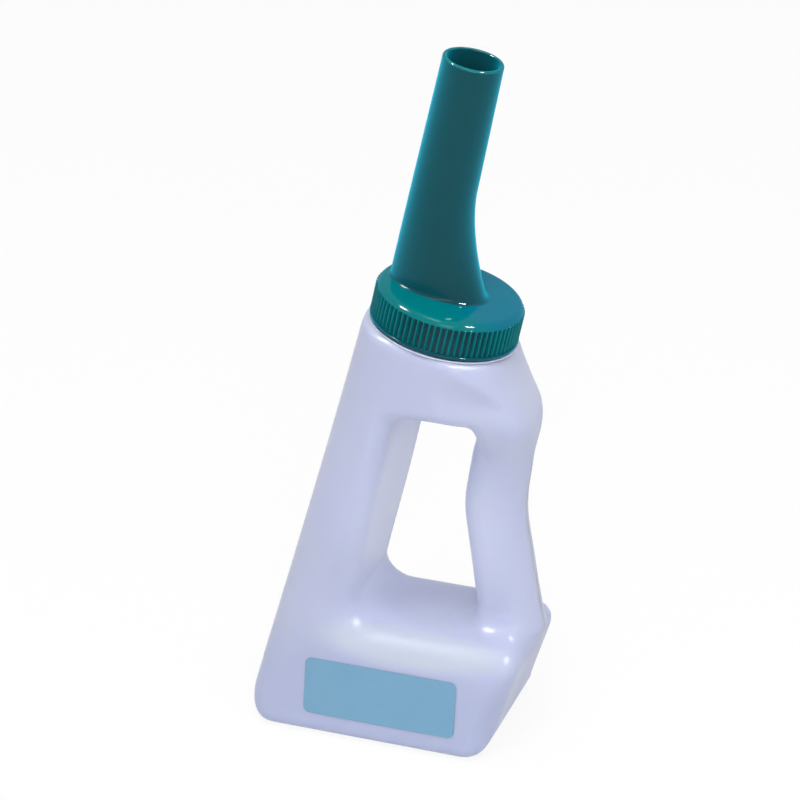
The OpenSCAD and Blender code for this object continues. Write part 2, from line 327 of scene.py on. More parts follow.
def bottle_field(x, y, z):
    """Distance from the bottle's outer skin, negative inside."""
    side = np.abs(y)
    u = (x - NECK_X) * TILT_C - (z - NECK_Z) * TILT_S
    w = (x - NECK_X) * TILT_S + (z - NECK_Z) * TILT_C + SEAT_GAP
    cone, lean = shoulder_cone(u, w, side)
    grip = outline_distance(x, z, GRIP_PATH)
    end = blend(END_EDGE_LOW, END_EDGE, smooth(*END_NARROWS_Z, z))
    outer = blend(BASE_EDGE, SIDE_EDGE, smooth(*BASE_EDGE_Z, z))
    outer = blend(outer, end, smooth(*END_EDGE_X, x) * smooth(*END_EDGE_Z, z))

    flat = outline_distance(x, z, BLOCK_PATH)
    high = smooth(*SHELF_TO_LEG_Z, z)
    bevel = blend(SHELF_EDGE, LEG_EDGE, high)
    steep = blend(SHELF_STEEP, 1.0, high)
    outside = smooth(*RECESS_OUT, grip + flat)
    edge = blend(bevel, outer, outside)
    face = (side - half_depth(z)) * BLOCK_SCALE
    block = round_and(flat * blend(steep, 1.0, outside), face, edge)
    block = round_and(block, cone, CONE_EDGE)

    flat = np.maximum(outline_distance(x, z, UPPER_PATH), -outline_distance(x, z, HAND_PATH))
    outside = smooth(*RECESS_OUT, grip + flat)
    edge = blend(blend(bevel, SLOT_TOP_EDGE, smooth(*SLOT_TOP_Z, z)), outer, outside)
    on_grip = smooth(*HANDLE_X, x) * (1 - smooth(*HANDLE_TOP_Z, z))
    depth = blend(half_depth(z), HANDLE_H, on_grip)
    face = (side - depth) * UPPER_SCALE
    dome = cone - DOME_DROP * (1 - smooth(*DOME_LEAN, lean))
    dome_edge = 1 + DOME_EDGE * smooth(*DOME_EDGE_LEAN, lean) * smooth(*DOME_EDGE_DOWN, -w)
    face = round_and(face, dome, dome_edge)
    flat = flat * blend(steep, 1.0, np.maximum(outside, on_grip))
    upper = round_and(flat, face, blend(edge, HANDLE_EDGE, on_grip))
    upper = round_and(upper, cone, blend(CONE_EDGE, 1.0, smooth(*CONE_EDGE_LEAN, lean)))
    upper = round_and(upper, w, NECK_EDGE)
    upper = np.maximum(upper, FRAME_FLOOR - z)
    fill = 0.01 + HANDLE_FILL * smooth(*FILL_X, x) * (1 - smooth(*FILL_TOP_Z, z))
    return round_or(block, upper, fill)


def inside_field(x, y, z):
    """Distance from the bottle's inner skin."""
    return bottle_field(x, y, z) + WALL


# skin of a distance field, on a grid of cells
CELL_CORNERS = [(i, j, k) for i in (0, 1) for j in (0, 1) for k in (0, 1)]
CELL_RING = ((0, 0), (-1, 0), (-1, -1), (0, -1))


def crossed_cells(solid):
    """The cells that the skin passes through, and each one's number."""
    shape = tuple(n - 1 for n in solid.shape)
    filled = np.zeros(shape, np.int8)
    for i, j, k in CELL_CORNERS:
        filled += solid[i:i + shape[0], j:j + shape[1], k:k + shape[2]]
    cell = np.argwhere((filled > 0) & (filled < len(CELL_CORNERS)))
    number = np.full(shape, -1)
    number[tuple(cell.T)] = np.arange(len(cell))
    return cell, number


def cell_spots(f, cell, low, step):
    """A point for each cell, amid the places where its edges cross the skin."""
    total = np.zeros((len(cell), 3))
    hits = np.zeros(len(cell))
    for corner in CELL_CORNERS:
        for axis in range(3):
            if corner[axis]:
                continue
            far = np.array(corner)
            far[axis] = 1
            fa = f[tuple((cell + corner).T)]
            fb = f[tuple((cell + far).T)]
            cross = (fa < 0) != (fb < 0)
            point = (cell[cross] + corner).astype(float)
            point[:, axis] += fa[cross] / (fa[cross] - fb[cross])
            total[cross] += point
            hits[cross] += 1
    return np.array(low) + step * total / hits[:, None]


def cell_faces(solid, number):
    """A four-sided face for each grid edge that crosses the skin, turned outwards."""
    shape = number.shape
    faces = []
    for axis in range(3):
        b, c = (axis + 1) % 3, (axis + 2) % 3
        near = np.take(solid, range(shape[axis]), axis)
        change = near != np.take(solid, range(1, shape[axis] + 1), axis)
        edge = np.argwhere(change)
        above = (edge[:, b] > 0) & (edge[:, c] > 0)
        below = (edge[:, b] < shape[b]) & (edge[:, c] < shape[c])
        edge = edge[above & below]
        ring = []
        for ob, oc in CELL_RING:
            at = edge.copy()
            at[:, b] += ob
            at[:, c] += oc
            ring.append(number[tuple(at.T)])
        quad = np.stack(ring, 1)
        back = ~near[tuple(edge.T)]
        quad[back] = quad[back][:, ::-1]
        faces.append(quad)
    return np.concatenate(faces)


def settle(spots, field, step, rounds=3, probe=0.02):
    """Moves points along the field's slope until they lie on its skin."""
    for _ in range(rounds):
        d = field(*spots.T)
        slope = []
        for axis in range(3):
            moved = spots.copy()
            moved[:, axis] += probe
            slope.append((field(*moved.T) - d) / probe)
        slope = np.stack(slope, 1)
        shift = -(d / np.maximum((slope ** 2).sum(1), 0.3))[:, None] * slope
        reach = np.linalg.norm(shift, axis=1, keepdims=True)
        spots += shift * np.minimum(1, 0.6 * step / np.maximum(reach, 1e-9))
    return spots


def skin_from_field(field, low, high, step):
    """Vertices and four-sided faces of the zero surface of a distance field."""
    axes = [np.arange(a, b + step, step) for a, b in zip(low, high)]
    f = field(axes[0][:, None, None], axes[1][None, :, None], axes[2][None, None, :])
    f = np.where(f == 0, 1e-6, f)
    solid = f < 0
    cell, number = crossed_cells(solid)
    spots = settle(cell_spots(f, cell, low, step), field, step)
    return spots, cell_faces(solid, number)


# pieces from points and loops
def add_object(name, data):
    """A new object in the scene."""
    thing = bpy.data.objects.new(name, data)
    bpy.context.scene.collection.objects.link(thing)
    return thing


def shade_smooth(mesh):
    """Smooth shading on every face."""
    mesh.polygons.foreach_set("use_smooth", np.ones(len(mesh.polygons), bool))


def new_piece(name, points, faces, material):
    """A smooth mesh piece from points in millimetres."""
    mesh = bpy.data.meshes.new(name)
    mesh.from_pydata((np.asarray(points) * MM).tolist(), [], [list(map(int, f)) for f in faces])
    shade_smooth(mesh)
    mesh.materials.append(material)
    mesh.update()
    return add_object(name, mesh)


def neck_points(points):
    """Neck frame points (u, y, w) as x, y, z."""
    p = np.asarray(points, float)
    x, z = neck_xz(p[..., 0], p[..., 2])
    return np.stack([x, p[..., 1], z], -1)


def loop_faces(rows, count, closed):
    """Four-sided faces between closed loops of equal length."""
    faces = []
    for i in range(rows if closed else rows - 1):
        a = i * count
        b = ((i + 1) % rows) * count
        for j in range(count):
            k = (j + 1) % count
            faces.append((a + j, a + k, b + k, b + j))
    return faces


def circle_loop(r, w, count):
    """A circle round the neck's axis, as neck frame points."""
    a = np.arange(count) * 2 * math.pi / count
    return np.stack([r * np.cos(a), r * np.sin(a), np.full(count, float(w))], 1)


def arc(cr, cw, rr, rw, start, stop, steps):
    """Profile points [r, w] on an ellipse arc, angles in degrees."""
    turn = np.radians(np.linspace(start, stop, steps + 1))
    return [[cr + rr * math.cos(t), cw + rw * math.sin(t)] for t in turn]


def helix(r_root, r_crest, low, per_turn=96):
    """A thread with run-out ends, as neck frame points and faces."""
    steps = math.ceil(per_turn * THREAD_TURNS)
    half = THREAD_W / 2
    rows = []
    for i in range(steps + 1):
        a = 2 * math.pi * i / per_turn
        run = smooth(0, 12, float(min(i, steps - i)))
        crest = blend(r_root + 0.12 * np.sign(r_crest - r_root), r_crest, run)
        near = blend(r_root, crest, 0.85)
        w = low + PITCH * i / per_turn
        section = [(r_root, -half), (near, -half * 0.62), (crest, -half * 0.4),
                   (crest, half * 0.4), (near, half * 0.62), (r_root, half)]
        rows.append([(r * math.cos(a), r * math.sin(a), w + d) for r, d in section])
    size = len(rows[0])
    faces = loop_faces(len(rows), size, False)
    faces.append(tuple(reversed(range(size))))
    faces.append(tuple(steps * size + j for j in range(size)))
    return np.array(rows).reshape(-1, 3), faces


def outward(piece):
    """Turns every face of a closed piece outwards."""
    bm = bmesh.new()
    bm.from_mesh(piece.data)
    bmesh.ops.recalc_face_normals(bm, faces=bm.faces)
    bm.to_mesh(piece.data)
    bm.free()


def threaded_piece(name, loops, thread, material):
    """A round of closed loops with its thread, all in the neck frame, as one piece."""
    points, turns = thread
    count = len(loops[0])
    shift = len(loops) * count
    faces = loop_faces(len(loops), count, True)
    faces += [tuple(shift + v for v in f) for f in turns]
    piece = new_piece(name, neck_points(np.concatenate([*loops, points])), faces, material)
    outward(piece)
    return piece


# shared surface effects
def moulding_grain_group():
    """Fine moulded texture and a soft cloudiness of tone."""
    group = bpy.data.node_groups.new("moulding_grain", "ShaderNodeTree")
    face = group.interface
    face.new_socket("Cloud Scale", in_out="INPUT", socket_type="NodeSocketFloat")
    face.new_socket("Grain Scale", in_out="INPUT", socket_type="NodeSocketFloat")
    face.new_socket("Cloud", in_out="OUTPUT", socket_type="NodeSocketFloat")
    face.new_socket("Grain", in_out="OUTPUT", socket_type="NodeSocketFloat")
    nodes, links = group.nodes, group.links
    start = nodes.new("NodeGroupInput")
    end = nodes.new("NodeGroupOutput")
    coords = nodes.new("ShaderNodeTexCoord")
    cloud = nodes.new("ShaderNodeTexNoise")
    cloud.inputs["Detail"].default_value = 3.0
    grain = nodes.new("ShaderNodeTexNoise")
    grain.inputs["Detail"].default_value = 2.0
    links.new(coords.outputs["Object"], cloud.inputs["Vector"])
    links.new(coords.outputs["Object"], grain.inputs["Vector"])
    links.new(start.outputs["Cloud Scale"], cloud.inputs["Scale"])
    links.new(start.outputs["Grain Scale"], grain.inputs["Scale"])
    links.new(cloud.outputs["Fac"], end.inputs["Cloud"])
    links.new(grain.outputs["Fac"], end.inputs["Grain"])
    return group


GRAIN = moulding_grain_group()


def moulded_material(name, dark, light, rough, cloud_scale, grain_scale, bump, settings):
    """A moulded plastic: two close tones, varied roughness and a fine grain.

    bump is the grain's strength and its depth in metres; settings are plain shader values.
    """
    material = bpy.data.materials.new(name)
    material.use_nodes = True
    nodes, links = material.node_tree.nodes, material.node_tree.links
    shader = nodes["Principled BSDF"]
    grain = nodes.new("ShaderNodeGroup")
    grain.node_tree = GRAIN
    grain.inputs["Cloud Scale"].default_value = cloud_scale
    grain.inputs["Grain Scale"].default_value = grain_scale
    tone = nodes.new("ShaderNodeMix")
    tone.data_type = "RGBA"
    tone.inputs["A"].default_value = (*dark, 1)
    tone.inputs["B"].default_value = (*light, 1)
    links.new(grain.outputs["Cloud"], tone.inputs["Factor"])
    links.new(tone.outputs["Result"], shader.inputs["Base Color"])
    gloss = nodes.new("ShaderNodeMapRange")
    gloss.inputs["To Min"].default_value = rough[0]
    gloss.inputs["To Max"].default_value = rough[1]
    links.new(grain.outputs["Grain"], gloss.inputs["Value"])
    links.new(gloss.outputs["Result"], shader.inputs["Roughness"])
    relief = nodes.new("ShaderNodeBump")
    relief.inputs["Strength"].default_value = bump[0]
    relief.inputs["Distance"].default_value = bump[1]
    links.new(grain.outputs["Grain"], relief.inputs["Height"])
    links.new(relief.outputs["Normal"], shader.inputs["Normal"])
    for socket, value in settings.items():
        shader.inputs[socket].default_value = value
    return material


TONE_NONE = 1.05
TONE_FULL = 0.55


def painted_tone_oval(material, centre, half, change):
    """Painted light and shade: another tone mixed into the base colour inside an oval, in metres.
    """
    nodes, links = material.node_tree.nodes, material.node_tree.links
    shader = nodes["Principled BSDF"]
    tone = shader.inputs["Base Color"].links[0].from_socket
    coords = nodes.new("ShaderNodeTexCoord")
    offset = nodes.new("ShaderNodeVectorMath")
    offset.operation = "SUBTRACT"
    offset.inputs[1].default_value = centre
    links.new(coords.outputs["Object"], offset.inputs[0])
    share = nodes.new("ShaderNodeVectorMath")
    share.operation = "DIVIDE"
    share.inputs[1].default_value = half
    links.new(offset.outputs["Vector"], share.inputs[0])
    reach = nodes.new("ShaderNodeVectorMath")
    reach.operation = "LENGTH"
    links.new(share.outputs["Vector"], reach.inputs[0])
    fade = nodes.new("ShaderNodeMapRange")
    fade.interpolation_type = "SMOOTHSTEP"
    fade.inputs["From Min"].default_value = TONE_NONE
    fade.inputs["From Max"].default_value = TONE_FULL
    links.new(reach.outputs["Value"], fade.inputs["Value"])
    mixed = nodes.new("ShaderNodeMix")
    mixed.data_type = "RGBA"
    mixed.inputs["B"].default_value = (*change, 1)
    links.new(fade.outputs["Result"], mixed.inputs["Factor"])
    links.new(tone, mixed.inputs["A"])
    links.new(mixed.outputs["Result"], shader.inputs["Base Color"])


# finishes
natural_poly = moulded_material(
    "natural_poly",
    dark=(0.485, 0.52, 0.715),
    light=(0.555, 0.59, 0.77),
    rough=(0.28, 0.4),
    cloud_scale=14.0,
    grain_scale=700.0,
    bump=(0.12, 0.0004),
    settings={
        "Subsurface Weight": 0.8,
        "Subsurface Radius": (1.0, 1.0, 1.2),
        "Subsurface Scale": 0.003,
        "Specular IOR Level": 0.12,
    },
)
# painted light and shade on the bottle: painted shade over the block, darker toward its bottom;
# painted light round the hand opening; painted shade on the shelf and along its back edge; a
# painted highlight along the shelf's front edge
BLOCK_PAINTED_SHADE = (0.46, 0.5, 0.695)
RECESS_PAINTED_LIGHT = (0.65, 0.69, 0.885)
SHELF_PAINTED_SHADE = (0.525, 0.56, 0.725)
SHELF_EDGE_HIGHLIGHT = (0.55, 0.595, 0.71)
painted_tone_oval(natural_poly, centre=(0.01, 0.0, -0.012), half=(0.26, 0.26, 0.078), change=BLOCK_PAINTED_SHADE)
painted_tone_oval(natural_poly, centre=(0.015, 0.0, 0.108), half=(0.056, 0.044, 0.082), change=RECESS_PAINTED_LIGHT)
painted_tone_oval(natural_poly, centre=(0.029, 0.002, 0.06), half=(0.042, 0.036, 0.0145), change=SHELF_PAINTED_SHADE)
painted_tone_oval(natural_poly, centre=(0.024, -0.035, 0.053), half=(0.058, 0.014, 0.013), change=SHELF_EDGE_HIGHLIGHT)
painted_tone_oval(natural_poly, centre=(0.024, 0.035, 0.053), half=(0.058, 0.014, 0.013), change=SHELF_PAINTED_SHADE)

TEAL_SHEEN = {
    "Specular IOR Level": 0.0,
    "Specular Tint": (0.1, 0.75, 0.9, 1),
    "Sheen Weight": 0.5,
    "Sheen Roughness": 0.4,
    "Sheen Tint": (0.0, 0.6, 0.78, 1),
    "Coat Weight": 0.28,
    "Coat Roughness": 0.05,
}
TEAL_GRAIN = {"grain_scale": 900.0, "bump": (0.03, 0.0002)}
teal_gloss = moulded_material(
    "teal_gloss",
    dark=(0.004, 0.047, 0.057),
    light=(0.006, 0.057, 0.068),
    rough=(0.1, 0.2),
    cloud_scale=40.0,
    settings={
        **TEAL_SHEEN,
        "Sheen Weight": 1.0,
        "Sheen Roughness": 0.5,
        "Sheen Tint": (0.0, 0.68, 0.98, 1),
        "Coat Weight": 0.22,
    },
    **TEAL_GRAIN,
)
# painted light: a lighter copy of the teal for the ribs' crests and the mouth's lip
rib_painted_light = moulded_material(
    "rib_painted_light",
    dark=(0.0, 0.15, 0.17),
    light=(0.004, 0.185, 0.205),
    rough=(0.12, 0.24),
    cloud_scale=60.0,
    settings=TEAL_SHEEN,
    **TEAL_GRAIN,
)
# painted light: a lighter copy of the teal for the rim and the deck, which face up
deck_painted_light = moulded_material(
    "deck_painted_light",
    dark=(0.0, 0.163, 0.168),
    light=(0.0, 0.188, 0.195),
    rough=(0.1, 0.2),
    cloud_scale=40.0,
    settings={**TEAL_SHEEN, "Sheen Tint": (0.0, 0.5, 0.9, 1), "Coat Weight": 0.24},
    **TEAL_GRAIN,
)
# painted reflection: the deck turns bluer toward the grip
DECK_PAINTED_REFLECTION = (0.0, 0.155, 0.23)
painted_tone_oval(deck_painted_light, centre=(0.06, 0.014, 0.221), half=(0.036, 0.05, 0.04), change=DECK_PAINTED_REFLECTION)
# painted shade: a darker copy of the teal in the grooves between the ribs
groove_painted_shade = moulded_material(
    "groove_painted_shade",
    dark=(0.01, 0.06, 0.074),
    light=(0.014, 0.075, 0.09),
    rough=(0.3, 0.45),
    cloud_scale=60.0,
    grain_scale=900.0,
    bump=(0.05, 0.0002),
    settings={"Specular IOR Level": 0.1},
)
label_film = moulded_material(
    "label_film",
    dark=(0.146, 0.325, 0.487),
    light=(0.172, 0.362, 0.532),
    rough=(0.34, 0.46),
    cloud_scale=60.0,
    grain_scale=2600.0,
    bump=(0.1, 0.0001),
    settings={"IOR": 1.48},
)
pale_rubber = moulded_material(
    "pale_rubber",
    dark=(0.68, 0.68, 0.64),
    light=(0.74, 0.74, 0.7),
    rough=(0.55, 0.7),
    cloud_scale=80.0,
    grain_scale=1800.0,
    bump=(0.15, 0.0002),
    settings={},
)


# bottle shell with its neck
def cut_away(piece, cutters):
    """Takes the cutters out of a closed piece and leaves a plain mesh."""
    for cutter in cutters:
        cut = piece.modifiers.new("cut", "BOOLEAN")
        cut.operation = "DIFFERENCE"
        cut.solver = "MANIFOLD"
        cut.object = cutter
    graph = bpy.context.evaluated_depsgraph_get()
    mesh = bpy.data.meshes.new_from_object(piece.evaluated_get(graph))
    piece.modifiers.clear()
    piece.data = mesh
    shade_smooth(mesh)
    for cutter in cutters:
        bpy.data.objects.remove(cutter)


FIELD_LOW = (-66, -48, -3)
FIELD_HIGH = (86, 48, 219)
OUTER_CELL = 1.4
INNER_CELL = 2.4


def make_bottle():
    """The hollow shell, open at the mouth."""
    outer = skin_from_field(bottle_field, FIELD_LOW, FIELD_HIGH, OUTER_CELL)
    piece = new_piece("bottle_shell", *outer, natural_poly)
    inner = skin_from_field(inside_field, FIELD_LOW, FIELD_HIGH, INNER_CELL)
    hollow = new_piece("hollow", *inner, natural_poly)
    count = 96
    low, high = -16, 4
    rounds = [[0.01, low], [NECK_BORE + 1, low], [NECK_BORE + 1, high], [0.01, high]]
    loops = np.concatenate([circle_loop(r, w, count) for r, w in rounds])
    faces = loop_faces(len(rounds), count, True)
    mouth = new_piece("mouth", neck_points(loops), faces, natural_poly)
    outward(mouth)
    cut_away(piece, [hollow, mouth])
    return piece


def make_neck():
    """The seat bead, the neck and its thread."""
    count = 160
    profile = [[NECK_BORE, -9], [SEAT_R - 1.2, -9], [SEAT_R - 1.2, -SEAT_GAP - 1.2]]
    profile += arc(SEAT_R - 0.35, -SEAT_GAP - 0.05, 0.35, 0.35, -60, 120, 8)
    profile += [[SEAT_R - 2.4, -SEAT_GAP + 0.05], [NECK_ROOT + 3.0, -SEAT_GAP + 0.05]]
    profile += arc(NECK_ROOT + 1.6, 0.6, 1.6, 1.6, 270, 180, 5)
    profile += arc(NECK_ROOT - 0.8, LIP_W - 0.8, 0.8, 0.8, 0, 90, 5)
    profile += arc(NECK_BORE + 0.7, LIP_W - 0.7, 0.7, 0.7, 90, 180, 5)
    loops = [circle_loop(r, w, count) for r, w in profile]
    thread = helix(NECK_ROOT - 0.4, NECK_CREST, THREAD_LOW + PITCH / 2)
    return threaded_piece("bottle_neck", loops, thread, natural_poly)


RIDGE = ((-1.4, -0.3), (-0.6, 0.08), (0.0, 0.17), (0.6, 0.08), (1.4, -0.3))
RIDGE_LOW = 9
RIDGE_ROWS = 110
RIDGE_SINK = 0.3
RIDGE_FADE = 60


def make_parting_line(name, side, top):
    """The fine ridge where the two mould halves met, down one side of the bottle."""
    z = np.linspace(RIDGE_LOW, top, RIDGE_ROWS)
    x = side * np.arange(92, -40, -0.25)
    hit = (bottle_field(x[:, None], 0.0, z[None, :]) < 0).argmax(0)
    near = bottle_field(x[hit], 0.0, z)
    far = bottle_field(x[hit - 1], 0.0, z)
    line = np.stack([x[hit] + (x[hit - 1] - x[hit]) * near / (near - far), z], 1)
    run = np.gradient(line, axis=0)
    run /= np.linalg.norm(run, axis=1, keepdims=True)
    out = side * np.stack([run[:, 1], -run[:, 0]], 1)
    sink = RIDGE_SINK * smooth(top - RIDGE_FADE, top, z)
    loops = []
    for y, lift in RIDGE:
        edge = line + out * (lift - sink)[:, None]
        loops.append(np.stack([edge[:, 0], np.full(len(z), y), edge[:, 1]], 1))
    points = np.stack(loops, 1)
    count = points.shape[1]
    faces = loop_faces(len(z), count, False)
    faces.append(tuple(range(count)))
    faces.append(tuple((len(z) - 1) * count + j for j in range(count)))
    piece = new_piece(name, points.reshape(-1, 3), faces, natural_poly)
    outward(piece)
    return piece


# screw cap with the spout, as one skin of loops
CAP_COUNT = 192
CAP_ANGLE = np.arange(CAP_COUNT) * 2 * math.pi / CAP_COUNT
TOWARD_GRIP = 0.5 + 0.5 * np.cos(CAP_ANGLE)
BEAD_EDGE = 0.6
BEAD_TOP = 1.5
RIM_EDGE = 3.5
FOOT_FILLET = 1.8
BORE_FLARE = 1.3
INNER_EDGE = 0.6


def spout_loop(r, grow, fillet, w):
    """A loop of the spout: round above its foot, stretched toward the grip at the deck."""
    wide = r + fillet * (0.35 + 0.65 * TOWARD_GRIP)
    u = SPOUT_U + wide * np.cos(CAP_ANGLE) + grow * TOWARD_GRIP
    return np.stack([u, wide * np.sin(CAP_ANGLE), np.full(CAP_COUNT, float(w))], 1)


def spout_radius(w):
    """The spout's outer radius, which narrows up to its mouth."""
    return SPOUT_R + SPOUT_DRAFT * (SPOUT_W - w)


def foot_grow(w):
    """How far the spout's foot reaches toward the grip."""
    below = max(0.0, SPOUT_FOOT - w) / (SPOUT_FOOT - CAP_H)
    return FOOT_REACH * below ** FOOT_CURVE


def cap_circles(profile):
    """Loops round the neck's axis at profile points [r, w]."""
    return [circle_loop(r, w, CAP_COUNT) for r, w in profile]


def skirt_profile():
    """From the skirt's lower edge round the bead, up the ribs' ground and over the rim."""
    profile = [[SKIRT_R, 0.4], [SKIRT_R + 0.4, 0.0]]
    profile += arc(CAP_R - BEAD_EDGE, BEAD_EDGE, BEAD_EDGE, BEAD_EDGE, -90, 0, 5)
    profile += arc(CAP_R - BEAD_EDGE, BEAD_TOP - BEAD_EDGE, BEAD_EDGE, BEAD_EDGE, 0, 90, 5)
    profile += [[GROOVE_R + 0.2, 1.6], [GROOVE_R, 1.9]]
    profile += [[GROOVE_R, CAP_H - 4.2], [GROOVE_R + 0.4, CAP_H - 3.95]]
    profile += arc(CAP_R - 4.3, CAP_H - 4.0, RIM_EDGE, RIM_EDGE, 5, 84, 14)
    return profile


def deck_loops():
    """Across the deck, from the rim to the spout's foot."""
    rim = circle_loop(CAP_R - 5.4, CAP_H - 0.42, CAP_COUNT)
    foot = spout_loop(spout_radius(CAP_H), foot_grow(CAP_H), FOOT_FILLET, CAP_H)
    return [blend(rim, foot, t) for t in (0.25, 0.5, 0.75, 0.92)]


def spout_loops():
    """Up the outside of the spout, from its fillet on the deck to just below the mouth."""
    loops = []
    for a in np.linspace(0, 90, 9):
        w = CAP_H + FOOT_FILLET * (1 - math.cos(math.radians(a)))
        out = FOOT_FILLET * (1 - math.sin(math.radians(a)))
        loops.append(spout_loop(spout_radius(w), foot_grow(w), out, w))
    for w in np.linspace(CAP_H + FOOT_FILLET + 1, SPOUT_FOOT + 8, 30):
        loops.append(spout_loop(spout_radius(w), foot_grow(w), 0, w))
    for w in np.linspace(SPOUT_FOOT + 12, SPOUT_W - 1.2, 14):
        loops.append(spout_loop(spout_radius(w), 0, 0, w))
    return loops


def mouth_loops():
    """Over the round lip of the mouth."""
    lip = (SPOUT_R - SPOUT_BORE) / 2
    loops = []
    for a in np.linspace(0, 180, 11):
        r = SPOUT_BORE + lip + lip * math.cos(math.radians(a))
        loops.append(spout_loop(r, 0, 0, SPOUT_W - lip + lip * math.sin(math.radians(a))))
    return loops


def bore_loops():
    """Down the bore, out under the deck and down the inside of the skirt."""
    loops = []
    for w in np.linspace(SPOUT_W - 4, SPOUT_FOOT, 8):
        loops.append(spout_loop(SPOUT_BORE, 0, 0, w))
    for w in np.linspace(SPOUT_FOOT - 2, CAP_H - DECK_T, 16):
        below = min(1.0, (SPOUT_FOOT - w) / (SPOUT_FOOT - CAP_H))
        grow = FOOT_REACH * below ** FOOT_CURVE
        loops.append(spout_loop(SPOUT_BORE + BORE_FLARE * below, grow, 0, w))
    under = circle_loop(SKIRT_R - INNER_EDGE, CAP_H - DECK_T, CAP_COUNT)
    loops += [blend(loops[-1], under, t) for t in (0.3, 0.65, 1.0)]
    profile = arc(SKIRT_R - INNER_EDGE, CAP_H - DECK_T - INNER_EDGE,
                  INNER_EDGE, INNER_EDGE, 90, 0, 3)[1:]
    profile += [[SKIRT_R, w] for w in np.linspace(12, 2, 5)]
    return loops + cap_circles(profile)


def make_cap():
    """Skirt, groove, deck, spout and bore as loops in one round, with the thread inside."""
    profile = skirt_profile()
    groove = [i for i, (r, _) in enumerate(profile) if r == GROOVE_R]
    loops = cap_circles(profile) + deck_loops()
    deck = range(groove[-1] + 1, len(loops) + 2)
    loops += spout_loops()
    mouth = range(len(loops), len(loops) + 9)
    loops += mouth_loops() + bore_loops()
    thread = helix(SKIRT_R + 0.3, CAP_CREST, THREAD_LOW)
    piece = threaded_piece("screw_cap", loops, thread, teal_gloss)
    # painted shade in the grooves between the ribs; painted light on the rim, the deck and the
    # mouth's lip
    bands = ((groove_painted_shade, groove), (deck_painted_light, deck), (rib_painted_light, mouth))
    for index, (finish, band) in enumerate(bands, 1):
        piece.data.materials.append(finish)
        for face in range(band[0] * CAP_COUNT, band[-1] * CAP_COUNT):
            piece.data.polygons[face].material_index = index
    return piece


# grip ribs round the cap, set out by a node tree
NECK_MATRIX = Matrix.Translation((NECK_X * MM, 0, NECK_Z * MM)) @ Matrix.Rotation(NECK_TILT, 4, "Y")


def rib_stock(width, reach, low, high):
    """One rib: a half-round bar with rounded ends, standing on +X."""
    across = 8
    sunk = 0.35
    ends = ((low, 0.0), (low + 0.25, 0.7), (low + 0.7, 1.0), (high - 1.1, 1.0),
            (high - 0.6, 0.92), (high - 0.25, 0.68), (high, 0.0))
    rows = []
    for w, grow in ends:
        row = []
        for j in range(across + 1):
            a = math.pi * j / across
            out = -sunk + (reach + sunk) * math.sin(a) ** 0.7 * grow
            row.append((out, -width / 2 * math.cos(a), w))
        rows.append(row)
    size = across + 1
    faces = []
    for i in range(len(rows) - 1):
        for j in range(across):
            near = i * size + j
            far = near + size
            faces.append((near, near + 1, far + 1, far))
    mesh = bpy.data.meshes.new("rib_stock")
    mesh.from_pydata((np.array(rows).reshape(-1, 3) * MM).tolist(), [], faces)
    shade_smooth(mesh)
    return add_object("rib_stock", mesh)


def rib_ring_tree():
    """Sets the rib out round a circle, each turned to face outwards."""
    tree = bpy.data.node_groups.new("rib_ring", "GeometryNodeTree")
    face = tree.interface
    face.new_socket("Geometry", in_out="INPUT", socket_type="NodeSocketGeometry")
    count = face.new_socket("Rib Count", in_out="INPUT", socket_type="NodeSocketInt")
    radius = face.new_socket("Root Radius", in_out="INPUT", socket_type="NodeSocketFloat")
    rib = face.new_socket("Rib", in_out="INPUT", socket_type="NodeSocketObject")
    finish = face.new_socket("Finish", in_out="INPUT", socket_type="NodeSocketMaterial")
    face.new_socket("Geometry", in_out="OUTPUT", socket_type="NodeSocketGeometry")
    nodes, links = tree.nodes, tree.links
    start = nodes.new("NodeGroupInput")
    end = nodes.new("NodeGroupOutput")
    ring = nodes.new("GeometryNodeMeshCircle")
    links.new(start.outputs["Rib Count"], ring.inputs["Vertices"])
    links.new(start.outputs["Root Radius"], ring.inputs["Radius"])
    index = nodes.new("GeometryNodeInputIndex")
    step = nodes.new("ShaderNodeMath")
    step.operation = "DIVIDE"
    step.inputs[0].default_value = 2 * math.pi
    links.new(start.outputs["Rib Count"], step.inputs[1])
    angle = nodes.new("ShaderNodeMath")
    angle.operation = "MULTIPLY"
    links.new(index.outputs["Index"], angle.inputs[0])
    links.new(step.outputs["Value"], angle.inputs[1])
    turn = nodes.new("ShaderNodeCombineXYZ")
    links.new(angle.outputs["Value"], turn.inputs["Z"])
    info = nodes.new("GeometryNodeObjectInfo")
    links.new(start.outputs["Rib"], info.inputs["Object"])
    place = nodes.new("GeometryNodeInstanceOnPoints")
    links.new(ring.outputs["Mesh"], place.inputs["Points"])
    links.new(info.outputs["Geometry"], place.inputs["Instance"])
    links.new(turn.outputs["Vector"], place.inputs["Rotation"])
    real = nodes.new("GeometryNodeRealizeInstances")
    links.new(place.outputs["Instances"], real.inputs["Geometry"])
    paint = nodes.new("GeometryNodeSetMaterial")
    links.new(real.outputs["Geometry"], paint.inputs["Geometry"])
    links.new(start.outputs["Finish"], paint.inputs["Material"])
    links.new(paint.outputs["Geometry"], end.inputs["Geometry"])
    return tree, {"count": count, "radius": radius, "rib": rib, "finish": finish}


